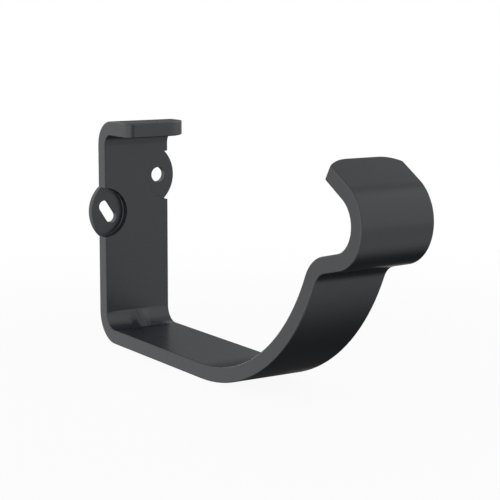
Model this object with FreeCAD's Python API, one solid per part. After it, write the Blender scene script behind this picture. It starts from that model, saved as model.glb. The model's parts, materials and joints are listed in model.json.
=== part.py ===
import FreeCAD, Part
import math
import os

from FreeCAD import Vector

# Fascia bracket for a moulded gutter: one bent strip, with two fixing ears pressed out of its edges.
# Millimetres. X runs along the gutter, +Y into the wall and +Z up. The back face lies in Y = 0, and
# the origin is at mid-width on it, level with the round fixing hole.

# Strip
strip_thickness = 5.0
strip_width = 25.4
edge_radius = 0.5

# Strip runs and bends, from the tab's tip round to the lip's tip. Radii are on the gutter side,
# except the ledge, whose radius is on the underside. Angles are in degrees.
bracket_height = 78.3
tab_reach = 21.2
tab_bend_radius = 3.8
back_bend_radius = 5.5
base_run = 59.1
front_radius = 63.0
front_angle = 65.8
ledge_radius = 6.6
ledge_angle = 52.4
ledge_run = 7.2
hook_radius = 8.3
hook_angle = 135.9
lip_run = 12.1

# Rounded ends of the lip and the tab. Each corner's curve starts some way in from the strip's side.
end_radius = 10.5
lip_corner = 7.2
tab_corner = 8.5
tab_near_radius = 3.0
tab_slant = 5.0
corner_ease = 0.8

# Fixing ears, each a round thinned spot that has spread past the strip's edge
ear_thickness = 2.2
ear_reach = 3.9
ear_edge_radius = 0.4
pocket_radius = 8.75
pocket_floor_radius = 0.3
hole_height = 58.0
slot_height = 46.0
hole_diameter = 5.3
fixing_inset = 2.5
slot_width = 4.3
slot_length = 8.7
slot_tilt = 57.0

# Gusset pressed into the bend between back and base, with the dent that it leaves behind
gusset_height = 1.5
gusset_radius = 7.0
gusset_root = 1.0
dent_radius = 3.0
dent_depth = 1.6

# Working allowances: how far a cutting tool runs past the metal, how far an ear runs into the strip,
# and how near two points are the same one
overrun = 4.0
ear_overlap = 1.0
same_place = 0.001

half_width = strip_width / 2
underside_z = -hole_height
quarter_turn = 90
X_AXIS = Vector(1, 0, 0)
OUT_OF_GUTTER = Vector(0, 1, 0)
INTO_GUTTER = Vector(0, -1, 0)


def heading_vector(heading):
    """Unit vector in the YZ plane, turned from +Y towards +Z."""
    return Vector(0, math.cos(math.radians(heading)), math.sin(math.radians(heading)))


def walk(start, heading, steps):
    """Follow runs and bends along the strip's middle; return the edges of both faces and both ends."""
    half = strip_thickness / 2
    point = start
    right_edges = []
    left_edges = []
    for length, radius, turn in steps:
        side = heading_vector(heading - quarter_turn)
        if radius is None:
            following = point + heading_vector(heading) * length
            right_edges.append(Part.LineSegment(point + side * half, following + side * half).toShape())
            left_edges.append(Part.LineSegment(point - side * half, following - side * half).toShape())
        else:
            centre = point + side * math.copysign(radius, turn)
            middle_side = heading_vector(heading - turn / 2 - quarter_turn)
            final_side = heading_vector(heading - turn - quarter_turn)
            following = centre - final_side * math.copysign(radius, turn)
            for edges, offset in ((right_edges, half), (left_edges, -half)):
                reach = math.copysign(radius, turn) - offset
                arc = Part.Arc(centre - side * reach, centre - middle_side * reach, centre - final_side * reach)
                edges.append(arc.toShape())
            heading -= turn
        point = following
    return right_edges, left_edges, point, heading


def run(length):
    return (length, None, 0)


def bend(inner_radius, turn):
    """A bend by its inner radius; a positive turn goes to the right, the gutter's side."""
    return (0, inner_radius + strip_thickness / 2, turn)


def strip_path():
    """Start, heading and steps of the strip's middle line."""
    tab_bend_outer = tab_bend_radius + strip_thickness
    back_bend_outer = back_bend_radius + strip_thickness
    back_run = bracket_height - tab_bend_outer - back_bend_outer
    tab_run = tab_tip_y() - tab_bend_outer
    start = Vector(0, -tab_tip_y(), underside_z + bracket_height - strip_thickness / 2)
    steps = [
        run(tab_run),
        bend(tab_bend_radius, quarter_turn),
        run(back_run),
        bend(back_bend_radius, quarter_turn),
        run(base_run),
        bend(front_radius, front_angle),
        bend(ledge_radius, -ledge_angle),
        run(ledge_run),
        bend(hook_radius, hook_angle),
        run(lip_run),
    ]
    return start, 0, steps


def tab_tip_y():
    """Distance from the wall to the tab's furthest point before its end is rounded."""
    return tab_reach + half_width * math.tan(math.radians(tab_slant))


def bent_strip():
    """The square-ended strip, and where its lip ends and points."""
    start, heading, steps = strip_path()
    right_edges, left_edges, lip_tip, lip_heading = walk(start, heading, steps)
    half = strip_thickness / 2
    first = heading_vector(heading - quarter_turn) * half
    last = heading_vector(lip_heading - quarter_turn) * half
    first_end = Part.LineSegment(start - first, start + first).toShape()
    last_end = Part.LineSegment(lip_tip + last, lip_tip - last).toShape()
    wire = Part.Wire(Part.__sortEdges__([first_end] + right_edges + [last_end] + left_edges))
    face = Part.Face(wire)
    strip = face.extrude(X_AXIS * strip_width)
    strip.translate(X_AXIS * -half_width)
    return strip, lip_tip, lip_heading


def end_waste(sides, inset):
    """What shaping an end takes off, drawn flat: X across the strip, Y out past its tip at Y = 0."""
    flat_half = half_width - inset
    reach = half_width + overrun
    height = strip_thickness + 2 * overrun
    blocks = [Part.makeBox(2 * reach, 2 * overrun, height, Vector(-reach, 0, -height / 2))]
    for side in sides:
        corner = Vector(flat_half if side > 0 else -reach, -end_radius, -height / 2)
        block = Part.makeBox(inset + overrun, end_radius, height, corner)
        nose_centre = Vector(side * flat_half, -end_radius, -height / 2)
        blocks.append(block.cut(Part.makeCylinder(end_radius, height, nose_centre)))
    return blocks[0].fuse(blocks[1:])


def placed(shape, origin, across, outward):
    """Move a flat-drawn shape so that its X lies along across and its Y along outward."""
    normal = across.cross(outward)
    matrix = FreeCAD.Matrix(
        across.x, outward.x, normal.x, origin.x,
        across.y, outward.y, normal.y, origin.y,
        across.z, outward.z, normal.z, origin.z,
        0, 0, 0, 1,
    )
    moved = shape.copy()
    moved.transformShape(matrix)
    return moved


def shape_ends(strip, lip_tip, lip_heading):
    """Cut the lip's end square to the strip and the tab's on its slant, and round all their corners."""
    slant = math.radians(tab_slant)
    across = Vector(math.cos(slant), math.sin(slant), 0)
    outward = Vector(math.sin(slant), -math.cos(slant), 0)
    tab_middle = Vector(0, -tab_reach, underside_z + bracket_height - strip_thickness / 2)
    lip_waste = placed(end_waste((-1, 1), lip_corner), lip_tip, X_AXIS, heading_vector(lip_heading))
    tab_waste = placed(end_waste((1,), tab_corner), tab_middle, across, outward)
    strip = strip.cut([lip_waste, tab_waste])
    near_corner_place = tab_middle - across * half_width
    strip = strip.makeFillet(corner_ease, corners_by_distance(strip, near_corner_place)[1:])
    return strip.makeFillet(tab_near_radius, corners_by_distance(strip, near_corner_place)[:1])


def corners_by_distance(strip, place):
    """The edges through the strip's thickness where its ends meet its sides, the nearest first."""
    rims = [edge for face in broad_faces(strip) for edge in face.Edges]
    corners = []
    for edge in strip.Edges:
        on_a_side = abs(abs(edge.CenterOfMass.x) - half_width) < same_place
        if on_a_side and not any(edge.isSame(rim) for rim in rims):
            corners.append(edge)
    return sorted(corners, key=lambda edge: edge.CenterOfMass.distanceToPoint(place))


def broad_faces(strip):
    """The faces that reach right across the strip."""
    return [face for face in strip.Faces if face.BoundBox.XLength > strip_width - edge_radius]


def soften(strip):
    """Round the rims of the strip's two broad faces, along its sides and round its ends."""
    rims = []
    for edge in strip.Edges:
        owners = [face for face in broad_faces(strip) if any(edge.isSame(other) for other in face.Edges)]
        if len(owners) == 1:
            rims.append(edge)
    return strip.makeFillet(edge_radius, rims)


def circles_at(shape, y):
    """The shape's round edges whose centres lie at one distance from the wall."""
    circles = [edge for edge in shape.Edges if edge.Curve.TypeId == "Part::GeomCircle"]
    return [edge for edge in circles if abs(edge.Curve.Center.y - y) < same_place]


def ear_plate(side, height):
    """The thin metal that has spread past the strip's edge, flush with its back."""
    edge_x = side * half_width
    inner_x = side * (half_width - ear_overlap)
    top = height + pocket_radius
    bottom = height - pocket_radius
    rim_top = Vector(edge_x, 0, top)
    rim_bottom = Vector(edge_x, 0, bottom)
    rim = Part.Arc(rim_top, Vector(edge_x + side * ear_reach, 0, height), rim_bottom)
    corners = [rim_bottom, Vector(inner_x, 0, bottom), Vector(inner_x, 0, top), rim_top]
    edges = [rim.toShape()] + [Part.LineSegment(a, b).toShape() for a, b in zip(corners, corners[1:])]
    plate = Part.Face(Part.Wire(edges)).extrude(INTO_GUTTER * ear_thickness)
    return plate.makeFillet(ear_edge_radius, circles_at(plate, -ear_thickness))


def pocket(side, height):
    """Round pocket in the strip's front, centred on its edge, that leaves the ear's thickness."""
    depth = strip_thickness - ear_thickness + overrun
    floor_centre = Vector(side * half_width, -ear_thickness, height)
    tool = Part.makeCylinder(pocket_radius, depth, floor_centre, INTO_GUTTER)
    return tool.makeFillet(pocket_floor_radius, circles_at(tool, -ear_thickness))


def slot(side, height):
    """Slot through an ear, tilted from the level, with its upper end towards the strip's near edge."""
    spread = (slot_length - slot_width) / 2
    length = ear_thickness + overrun
    centre = Vector(side * (half_width - fixing_inset), overrun / 2, height)
    tilt = math.radians(slot_tilt)
    along = Vector(side * math.cos(tilt), 0, math.sin(tilt))
    ends = [
        Part.makeCylinder(slot_width / 2, length, centre + along * offset, INTO_GUTTER)
        for offset in (-spread, spread)
    ]
    middle = Part.makeBox(2 * spread, slot_width, length, Vector(-spread, -slot_width / 2, 0))
    middle = placed(middle, centre, along, along.cross(OUT_OF_GUTTER))
    return ends[0].fuse([ends[1], middle])


def hole(side, height):
    """Round hole through an ear."""
    centre = Vector(side * (half_width - fixing_inset), overrun / 2, height)
    return Part.makeCylinder(hole_diameter / 2, ear_thickness + overrun, centre, INTO_GUTTER)


def diagonal_rod(corner, distance, radius, length):
    """A rod slanted halfway across the bend; its gutter side lies at distance from the corner."""
    up_and_out = heading_vector(1.5 * quarter_turn)
    along = heading_vector(2.5 * quarter_turn)
    middle = corner + up_and_out * (distance - radius)
    return Part.makeCylinder(radius, length, middle - along * (length / 2), along)


def bend_depth(radius):
    """How far the middle of a square bend lies from the corner that its two flats would make."""
    return radius * (math.sqrt(2) - 1)


def gusset():
    """The stiffening hump across the bend between back and base, rooted in the metal under it."""
    corner = Vector(0, -strip_thickness, underside_z + strip_thickness)
    reach = 2 * back_bend_radius + gusset_root
    rod = diagonal_rod(corner, bend_depth(back_bend_radius) + gusset_height, gusset_radius, 2 * reach)
    room_corner = corner + Vector(-gusset_radius, gusset_root - reach, -gusset_root)
    room = Part.makeBox(2 * gusset_radius, reach, reach, room_corner)
    return rod.common(room)


def dent():
    """The groove that pressing the gusset leaves in the bend's outside."""
    outer_radius = back_bend_radius + strip_thickness
    corner = Vector(0, 0, underside_z)
    length = 2 * outer_radius + 2 * overrun
    return diagonal_rod(corner, bend_depth(outer_radius) + dent_depth, dent_radius, length)


def gutter_bracket():
    slot_z = underside_z + slot_height
    hole_z = underside_z + hole_height
    body = soften(shape_ends(*bent_strip())).fuse(gusset())
    body = body.cut([dent(), pocket(-1, slot_z), pocket(1, hole_z)])
    body = body.fuse([ear_plate(-1, slot_z), ear_plate(1, hole_z)])
    body = body.cut([slot(-1, slot_z), hole(1, hole_z)])
    return body.removeSplitter()


bracket = gutter_bracket()
os.makedirs("parts", exist_ok=True)
bracket.exportStep("parts/gutter_bracket.step")
print("gutter_bracket: solids", len(bracket.Solids), "valid", bracket.isValid(), "volume", round(bracket.Volume))
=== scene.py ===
"""Gutter bracket: a fascia bracket bent from one flat steel strip, in anthracite powder coat."""

import json
import math

import bmesh
import bpy
from mathutils import Matrix, Vector


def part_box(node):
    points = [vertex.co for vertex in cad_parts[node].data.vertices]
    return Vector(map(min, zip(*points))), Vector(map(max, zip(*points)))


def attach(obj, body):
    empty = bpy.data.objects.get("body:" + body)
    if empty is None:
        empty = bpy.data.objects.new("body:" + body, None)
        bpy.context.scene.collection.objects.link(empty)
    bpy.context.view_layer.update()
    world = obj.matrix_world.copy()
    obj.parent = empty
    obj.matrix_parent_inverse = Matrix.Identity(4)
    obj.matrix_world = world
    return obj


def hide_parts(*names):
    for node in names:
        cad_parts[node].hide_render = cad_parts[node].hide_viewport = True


bl_info = {
    "name": "Gutter bracket",
    "version": (1, 0, 0),
    "blender": (4, 5, 0),
    "location": "View3D > Sidebar > Bracket",
    "description": "Finishes a powder-coated gutter bracket and sets it in a plain studio",
    "category": "Object",
}

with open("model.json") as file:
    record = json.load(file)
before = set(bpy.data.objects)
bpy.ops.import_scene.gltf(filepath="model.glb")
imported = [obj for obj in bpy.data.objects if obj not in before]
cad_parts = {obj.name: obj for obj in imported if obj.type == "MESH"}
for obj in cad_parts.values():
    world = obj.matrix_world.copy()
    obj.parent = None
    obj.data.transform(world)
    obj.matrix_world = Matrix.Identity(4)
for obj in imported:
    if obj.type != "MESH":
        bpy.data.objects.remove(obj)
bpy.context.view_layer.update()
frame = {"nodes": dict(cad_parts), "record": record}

STEEL = "gutter_bracket"
COAT_SLOT = "powder_coat"
BODY = "root"
MM = 0.001

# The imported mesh: the distance within which its points merge, the largest turn between facets that
# join into one face, and the smallest turn at an edge that stays sharp.
MERGE_DISTANCE = 0.001 * MM
FLAT_ANGLE = math.radians(0.05)
SHARP_ANGLE = math.radians(30)

# The coat's noise: how much fine detail each layer has, and how deep the grain is beside the peel.
PEEL_DETAIL = 1.5
GRAIN_DETAIL = 2.0
DRIFT_DETAIL = 2.5
GRAIN_SHARE = 0.15

CAMERA_NEAR = 10 * MM

bracket_low, bracket_high = (Vector(corner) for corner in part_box(STEEL))
bracket_middle = (bracket_low + bracket_high) / 2
recorded_coat = frame["record"]["materials"][0]["base_color"][:3]


class CoatSettings(bpy.types.PropertyGroup):
    """The powder coat on the steel."""
    color: bpy.props.FloatVectorProperty(
        name="Colour", description="Colour of the finished coat, as the eye sees it",
        subtype="COLOR", size=3, min=0, max=1, default=recorded_coat)
    pigment_share: bpy.props.FloatVectorProperty(
        name="Pigment share", description="Share of the seen colour that the pigment gives",
        size=3, min=0, max=1, default=(0.25, 0.28, 0.36))
    thin_share: bpy.props.FloatProperty(
        name="Thin share", description="How much paler the pigment is where the coat lies thinner",
        min=0, max=1, default=0.12)
    drift_size: bpy.props.FloatProperty(
        name="Drift size", description="Width of the patches where the coat is thicker or thinner",
        unit="LENGTH", min=1 * MM, default=22 * MM)
    ior: bpy.props.FloatProperty(
        name="Refraction", description="Refractive index of the cured coat",
        min=1, max=2, default=1.5)
    roughness: bpy.props.FloatProperty(
        name="Roughness", description="Roughness of the cured coat", min=0, max=1, default=0.28)
    roughness_drift: bpy.props.FloatProperty(
        name="Roughness drift", description="How far the roughness varies over the surface",
        min=0, max=0.5, default=0.05)
    peel_size: bpy.props.FloatProperty(
        name="Peel size", description="Width of one dimple of the orange peel", unit="LENGTH",
        min=0.1 * MM, default=0.9 * MM)
    peel_depth: bpy.props.FloatProperty(
        name="Peel depth", description="Depth of the orange peel", unit="LENGTH",
        min=0, default=0.003 * MM)
    grain_size: bpy.props.FloatProperty(
        name="Grain size", description="Width of one fused powder grain", unit="LENGTH",
        min=0.02 * MM, default=0.22 * MM)


class StudioSettings(bpy.types.PropertyGroup):
    """The floor, the lights and the camera."""
    floor_reach: bpy.props.FloatProperty(
        name="Floor reach", description="Half the floor's side", unit="LENGTH", default=6.0)
    floor_color: bpy.props.FloatVectorProperty(
        name="Floor", description="Colour of the floor", subtype="COLOR",
        size=3, min=0, max=1, default=(0.9, 0.9, 0.9))
    floor_bounce: bpy.props.FloatVectorProperty(
        name="Floor bounce", description="Colour of the floor in the light that it gives back",
        subtype="COLOR", size=3, min=0, max=1, default=(0.05, 0.05, 0.05))
    floor_glow: bpy.props.FloatProperty(
        name="Floor glow", description="Share of plain white in the floor close to the bracket",
        min=0, max=1, default=0.93)
    glow_start: bpy.props.FloatProperty(
        name="Glow start", description="Distance from the bracket where the floor starts to whiten",
        unit="LENGTH", default=0.1)
    glow_end: bpy.props.FloatProperty(
        name="Glow end", description="Distance from the bracket where the floor is plain white",
        unit="LENGTH", default=0.3)
    sky_color: bpy.props.FloatVectorProperty(
        name="Sky", description="Colour of the soft light from all round", subtype="COLOR",
        size=3, min=0, max=1, default=(0.35, 0.35, 0.35))
    lens: bpy.props.FloatProperty(
        name="Lens", description="Focal length of the camera", unit="CAMERA", default=107.6)
    camera_place: bpy.props.FloatVectorProperty(
        name="Camera place", description="Where the camera stands", subtype="TRANSLATION",
        unit="LENGTH", size=3, default=(-0.2526, -0.4690, 0.0587))
    camera_heading: bpy.props.FloatProperty(
        name="Camera heading", description="Turn of the view from +Y towards +X", subtype="ANGLE",
        unit="ROTATION", default=math.radians(32.93))
    camera_pitch: bpy.props.FloatProperty(
        name="Camera pitch", description="Tilt of the view above the level", subtype="ANGLE",
        unit="ROTATION", default=math.radians(-9.15))
    camera_roll: bpy.props.FloatProperty(
        name="Camera roll", description="Turn of the picture about its middle", subtype="ANGLE",
        unit="ROTATION", default=math.radians(0.17))


# Each light's name, its power in watts, and in metres its side and its place from the bracket's
# middle.
LIGHTS = (
    ("left_light", 20.0, 2.5, (-0.99, -0.12, 0.0)),
    ("front_light", 0.8, 1.5, (0.0, -1.0, 0.15)),
    ("right_light", 1.6, 1.2, (0.59, -0.68, 0.44)),
    ("far_light", 3.0, 1.5, (1.0, 0.35, 0.1)),
    ("back_light", 1.8, 0.4, (0.1, 1.0, 0.05)),
)

# The dark cards that the bracket's gloss mirrors: the way to each card's middle, the angles in
# degrees from there to the two sides of its soft edge, and its brightness, where 1 is white.
CARDS = (
    ((0.61, 0.61, -0.5), (34, 66), 0.05),
    ((0.57, 0.44, 0.69), (15, 40), 0.6),
)


def add_object(name, data):
    """A new object in the scene."""
    made = bpy.data.objects.new(name, data)
    bpy.context.scene.collection.objects.link(made)
    return made


def new_group(name, inputs, outputs):
    """An empty shader node group with named sockets, and its two end nodes."""
    group = bpy.data.node_groups.new(name, "ShaderNodeTree")
    for in_out, sockets in (("INPUT", inputs), ("OUTPUT", outputs)):
        for socket, kind in sockets:
            group.interface.new_socket(name=socket, in_out=in_out, socket_type=kind)
    return group, group.nodes.new("NodeGroupInput"), group.nodes.new("NodeGroupOutput")


def math_node(tree, operation, first, second):
    """A Math node; each operand is a number or a socket."""
    node = tree.nodes.new("ShaderNodeMath")
    node.operation = operation
    for index, value in enumerate((first, second)):
        if isinstance(value, bpy.types.NodeSocket):
            tree.links.new(value, node.inputs[index])
        else:
            node.inputs[index].default_value = value
    return node.outputs[0]


def noise_node(tree, vector, width, detail):
    """Noise whose features are about width across, from 0 to 1."""
    node = tree.nodes.new("ShaderNodeTexNoise")
    node.inputs["Detail"].default_value = detail
    tree.links.new(vector, node.inputs["Vector"])
    tree.links.new(math_node(tree, "DIVIDE", 1.0, width), node.inputs["Scale"])
    return node.outputs["Fac"]


def smooth_range(tree, value, given, wanted):
    """Maps a socket's value from the range given to the range wanted, easing in and out."""
    node = tree.nodes.new("ShaderNodeMapRange")
    node.interpolation_type = "SMOOTHSTEP"
    tree.links.new(value, node.inputs["Value"])
    for name, number in zip(("From Min", "From Max", "To Min", "To Max"), given + wanted):
        node.inputs[name].default_value = number
    return node.outputs["Result"]


def mix_shaders(tree, factor, first, second):
    """First where the factor is 0, second where it is 1."""
    node = tree.nodes.new("ShaderNodeMixShader")
    for index, socket in enumerate((factor, first.outputs[0], second.outputs[0])):
        tree.links.new(socket, node.inputs[index])
    return node


def colored(tree, kind, color):
    """A shader node of one plain colour."""
    node = tree.nodes.new(kind)
    node.inputs["Color"].default_value = (*color, 1)
    return node


def coat_surface_group():
    """Orange peel, fused grain and slow drift of a cured powder coat; its sizes are in metres."""
    group, given, result = new_group(
        "cured_coat",
        [("Vector", "NodeSocketVector"), ("Peel size", "NodeSocketFloat"),
         ("Peel depth", "NodeSocketFloat"), ("Grain size", "NodeSocketFloat"),
         ("Drift size", "NodeSocketFloat")],
        [("Height", "NodeSocketFloat"), ("Grain", "NodeSocketFloat"), ("Drift", "NodeSocketFloat")])
    place = given.outputs["Vector"]
    peel = noise_node(group, place, given.outputs["Peel size"], PEEL_DETAIL)
    grain = noise_node(group, place, given.outputs["Grain size"], GRAIN_DETAIL)
    drift = noise_node(group, place, given.outputs["Drift size"], DRIFT_DETAIL)
    relief = math_node(group, "ADD", peel, math_node(group, "MULTIPLY", grain, GRAIN_SHARE))
    height = math_node(group, "MULTIPLY", relief, given.outputs["Peel depth"])
    for name, socket in (("Height", height), ("Grain", grain), ("Drift", drift)):
        group.links.new(socket, result.inputs[name])
    return group


def powder_coat_material(coat):
    """Semi-gloss anthracite powder coat."""
    material = bpy.data.materials.new(COAT_SLOT)
    material.use_nodes = True
    tree = material.node_tree
    shader = tree.nodes["Principled BSDF"]
    shader.inputs["IOR"].default_value = coat.ior

    place = tree.nodes.new("ShaderNodeTexCoord")
    surface = tree.nodes.new("ShaderNodeGroup")
    surface.node_tree = coat_surface_group()
    tree.links.new(place.outputs["Object"], surface.inputs["Vector"])
    surface.inputs["Peel size"].default_value = coat.peel_size
    surface.inputs["Peel depth"].default_value = coat.peel_depth
    surface.inputs["Grain size"].default_value = coat.grain_size
    surface.inputs["Drift size"].default_value = coat.drift_size

    pigment = Vector(coat.color) * Vector(coat.pigment_share)
    tint = tree.nodes.new("ShaderNodeMix")
    tint.data_type = "RGBA"
    tint.inputs["A"].default_value = (*pigment, 1)
    tint.inputs["B"].default_value = (*(pigment * (1 + coat.thin_share)), 1)
    tree.links.new(surface.outputs["Drift"], tint.inputs["Factor"])
    tree.links.new(tint.outputs["Result"], shader.inputs["Base Color"])

    # Each noise is about 0.5 on average, so the two add up to about 1.
    mixed = math_node(tree, "ADD", surface.outputs["Drift"], surface.outputs["Grain"])
    centred = math_node(tree, "SUBTRACT", mixed, 1.0)
    spread = math_node(tree, "MULTIPLY", centred, coat.roughness_drift)
    tree.links.new(math_node(tree, "ADD", spread, coat.roughness), shader.inputs["Roughness"])

    # The height is in metres already, so the bump adds no scale of its own.
    bump = tree.nodes.new("ShaderNodeBump")
    bump.inputs["Distance"].default_value = 1.0
    tree.links.new(surface.outputs["Height"], bump.inputs["Height"])
    tree.links.new(bump.outputs["Normal"], shader.inputs["Normal"])
    return material


def smooth_piece(node, name):
    """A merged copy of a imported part, its flats in single faces and its rounds shaded smooth."""
    piece = add_object(name, node.data.copy())
    shape = bmesh.new()
    shape.from_mesh(piece.data)
    bmesh.ops.remove_doubles(shape, verts=shape.verts, dist=MERGE_DISTANCE)
    bmesh.ops.dissolve_limit(
        shape, angle_limit=FLAT_ANGLE, verts=shape.verts, edges=shape.edges,
        use_dissolve_boundaries=False, delimit=set())
    shape.to_mesh(piece.data)
    shape.free()
    piece.data.shade_smooth()
    piece.data.set_sharp_from_angle(angle=SHARP_ANGLE)
    weighted = piece.modifiers.new("Weighted Normal", "WEIGHTED_NORMAL")
    weighted.mode = "FACE_AREA"
    weighted.keep_sharp = True
    return piece


class OBJECT_OT_coated_bracket(bpy.types.Operator):
    """Make the bracket's coated steel strip"""
    bl_idname = "object.coated_bracket"
    bl_label = "Coated bracket"
    bl_options = {"REGISTER", "UNDO"}

    def execute(self, context):
        piece = smooth_piece(frame["nodes"][STEEL], "coated_strip")
        piece.data.materials.clear()
        piece.data.materials.append(powder_coat_material(context.scene.bracket_coat))
        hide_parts(STEEL)
        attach(piece, BODY)
        return {"FINISHED"}


def seen_rays(tree, kinds):
    """1 for rays of the kinds named, and 0 for the others."""
    rays = tree.nodes.new("ShaderNodeLightPath")
    total = rays.outputs[f"Is {kinds[0]} Ray"]
    for kind in kinds[1:]:
        total = math_node(tree, "ADD", total, rays.outputs[f"Is {kind} Ray"])
    return total


def distance_from_bracket(tree):
    """Distance on the floor from the point below the bracket's middle."""
    place = tree.nodes.new("ShaderNodeTexCoord")
    away = tree.nodes.new("ShaderNodeVectorMath")
    away.operation = "DISTANCE"
    away.inputs[1].default_value = (bracket_middle.x, bracket_middle.y, bracket_low.z)
    tree.links.new(place.outputs["Object"], away.inputs[0])
    return away.outputs["Value"]


def floor_material(studio):
    """Matt and pale, plain white further out, and clear to gloss, which mirrors the world."""
    material = bpy.data.materials.new("floor")
    material.use_nodes = True
    tree = material.node_tree
    tree.nodes.clear()
    away = distance_from_bracket(tree)
    glow = smooth_range(tree, away, (studio.glow_start, studio.glow_end), (studio.floor_glow, 1))

    pale = colored(tree, "ShaderNodeBsdfDiffuse", studio.floor_color)
    dim = colored(tree, "ShaderNodeBsdfDiffuse", studio.floor_bounce)
    white = colored(tree, "ShaderNodeEmission", (1, 1, 1))
    shown = mix_shaders(tree, glow, pale, white)
    clear = tree.nodes.new("ShaderNodeBsdfTransparent")
    in_gloss = mix_shaders(tree, seen_rays(tree, ("Glossy", "Transmission")), dim, clear)
    final = mix_shaders(tree, seen_rays(tree, ("Camera",)), in_gloss, shown)
    result = tree.nodes.new("ShaderNodeOutputMaterial")
    tree.links.new(final.outputs[0], result.inputs["Surface"])
    return material


def plain_floor(studio):
    """A pale floor under the bracket, with the bracket's soft shadow on it."""
    shape = bmesh.new()
    bmesh.ops.create_grid(shape, x_segments=1, y_segments=1, size=studio.floor_reach)
    bmesh.ops.translate(shape, verts=shape.verts, vec=(0, 0, bracket_low.z))
    mesh = bpy.data.meshes.new("floor")
    shape.to_mesh(mesh)
    shape.free()
    floor = add_object("floor", mesh)
    mesh.materials.append(floor_material(studio))


def card_level(tree, way, middle, edge, level):
    """Brightness that a card gives to the ways round its middle, and 1 elsewhere."""
    turn = tree.nodes.new("ShaderNodeVectorMath")
    turn.operation = "DOT_PRODUCT"
    turn.inputs[1].default_value = Vector(middle).normalized()
    tree.links.new(way, turn.inputs[0])
    inner, outer = (math.cos(math.radians(angle)) for angle in edge)
    return smooth_range(tree, turn.outputs["Value"], (outer, inner), (1, level))


def studio_world(studio):
    """Soft light from all round, a white background, and in reflections the dark cards on white."""
    world = bpy.data.worlds.new("studio")
    bpy.context.scene.world = world
    world.use_nodes = True
    tree = world.node_tree
    tree.nodes.clear()
    way = tree.nodes.new("ShaderNodeTexCoord").outputs["Generated"]
    level = 1.0
    for card in CARDS:
        level = math_node(tree, "MULTIPLY", card_level(tree, way, *card), level)

    soft = colored(tree, "ShaderNodeBackground", studio.sky_color)
    white = colored(tree, "ShaderNodeBackground", (1, 1, 1))
    mirrored = colored(tree, "ShaderNodeBackground", (1, 1, 1))
    tree.links.new(level, mirrored.inputs["Strength"])
    in_gloss = mix_shaders(tree, seen_rays(tree, ("Glossy", "Transmission")), soft, mirrored)
    final = mix_shaders(tree, seen_rays(tree, ("Camera",)), in_gloss, white)
    result = tree.nodes.new("ShaderNodeOutputWorld")
    tree.links.new(final.outputs[0], result.inputs["Surface"])


def area_light(name, power, size, place):
    """A square soft light that points at the bracket's middle."""
    data = bpy.data.lights.new(name, "AREA")
    data.shape = "SQUARE"
    data.size = size
    data.energy = power
    light = add_object(name, data)
    light.location = bracket_middle + Vector(place)
    light.rotation_euler = (-Vector(place)).to_track_quat("-Z", "Y").to_euler()


def studio_camera(studio):
    """The camera at the photograph's viewing angle."""
    data = bpy.data.cameras.new("camera")
    data.lens = studio.lens
    data.clip_start = CAMERA_NEAR
    camera = add_object("camera", data)
    camera.matrix_world = (
        Matrix.Translation(studio.camera_place)
        @ Matrix.Rotation(-studio.camera_heading, 4, "Z")
        @ Matrix.Rotation(math.pi / 2 + studio.camera_pitch, 4, "X")
        @ Matrix.Rotation(studio.camera_roll, 4, "Z"))
    bpy.context.scene.camera = camera


class SCENE_OT_bracket_studio(bpy.types.Operator):
    """Set up the floor, the lights and the camera"""
    bl_idname = "scene.bracket_studio"
    bl_label = "Studio"
    bl_options = {"REGISTER", "UNDO"}

    def execute(self, context):
        studio = context.scene.bracket_studio
        plain_floor(studio)
        studio_world(studio)
        for light in LIGHTS:
            area_light(*light)
        studio_camera(studio)
        context.scene.view_settings.view_transform = "Standard"
        return {"FINISHED"}


class VIEW3D_PT_bracket(bpy.types.Panel):
    """Sizes, colours and buttons for the bracket"""
    bl_idname = "VIEW3D_PT_bracket"
    bl_label = "Gutter bracket"
    bl_space_type = "VIEW_3D"
    bl_region_type = "UI"
    bl_category = "Bracket"

    def draw(self, context):
        for title, settings, operator in (
            ("Powder coat", context.scene.bracket_coat, OBJECT_OT_coated_bracket),
            ("Studio", context.scene.bracket_studio, SCENE_OT_bracket_studio),
        ):
            box = self.layout.box()
            box.label(text=title)
            for name in settings.__annotations__:
                box.prop(settings, name)
            box.operator(operator.bl_idname)


CLASSES = (
    CoatSettings,
    StudioSettings,
    OBJECT_OT_coated_bracket,
    SCENE_OT_bracket_studio,
    VIEW3D_PT_bracket,
)


def register():
    for part in CLASSES:
        bpy.utils.register_class(part)
    bpy.types.Scene.bracket_coat = bpy.props.PointerProperty(type=CoatSettings)
    bpy.types.Scene.bracket_studio = bpy.props.PointerProperty(type=StudioSettings)


def unregister():
    del bpy.types.Scene.bracket_studio
    del bpy.types.Scene.bracket_coat
    for part in reversed(CLASSES):
        bpy.utils.unregister_class(part)


def main():
    register()
    bpy.ops.object.coated_bracket()
    bpy.ops.scene.bracket_studio()


if __name__ == "__main__":
    main()
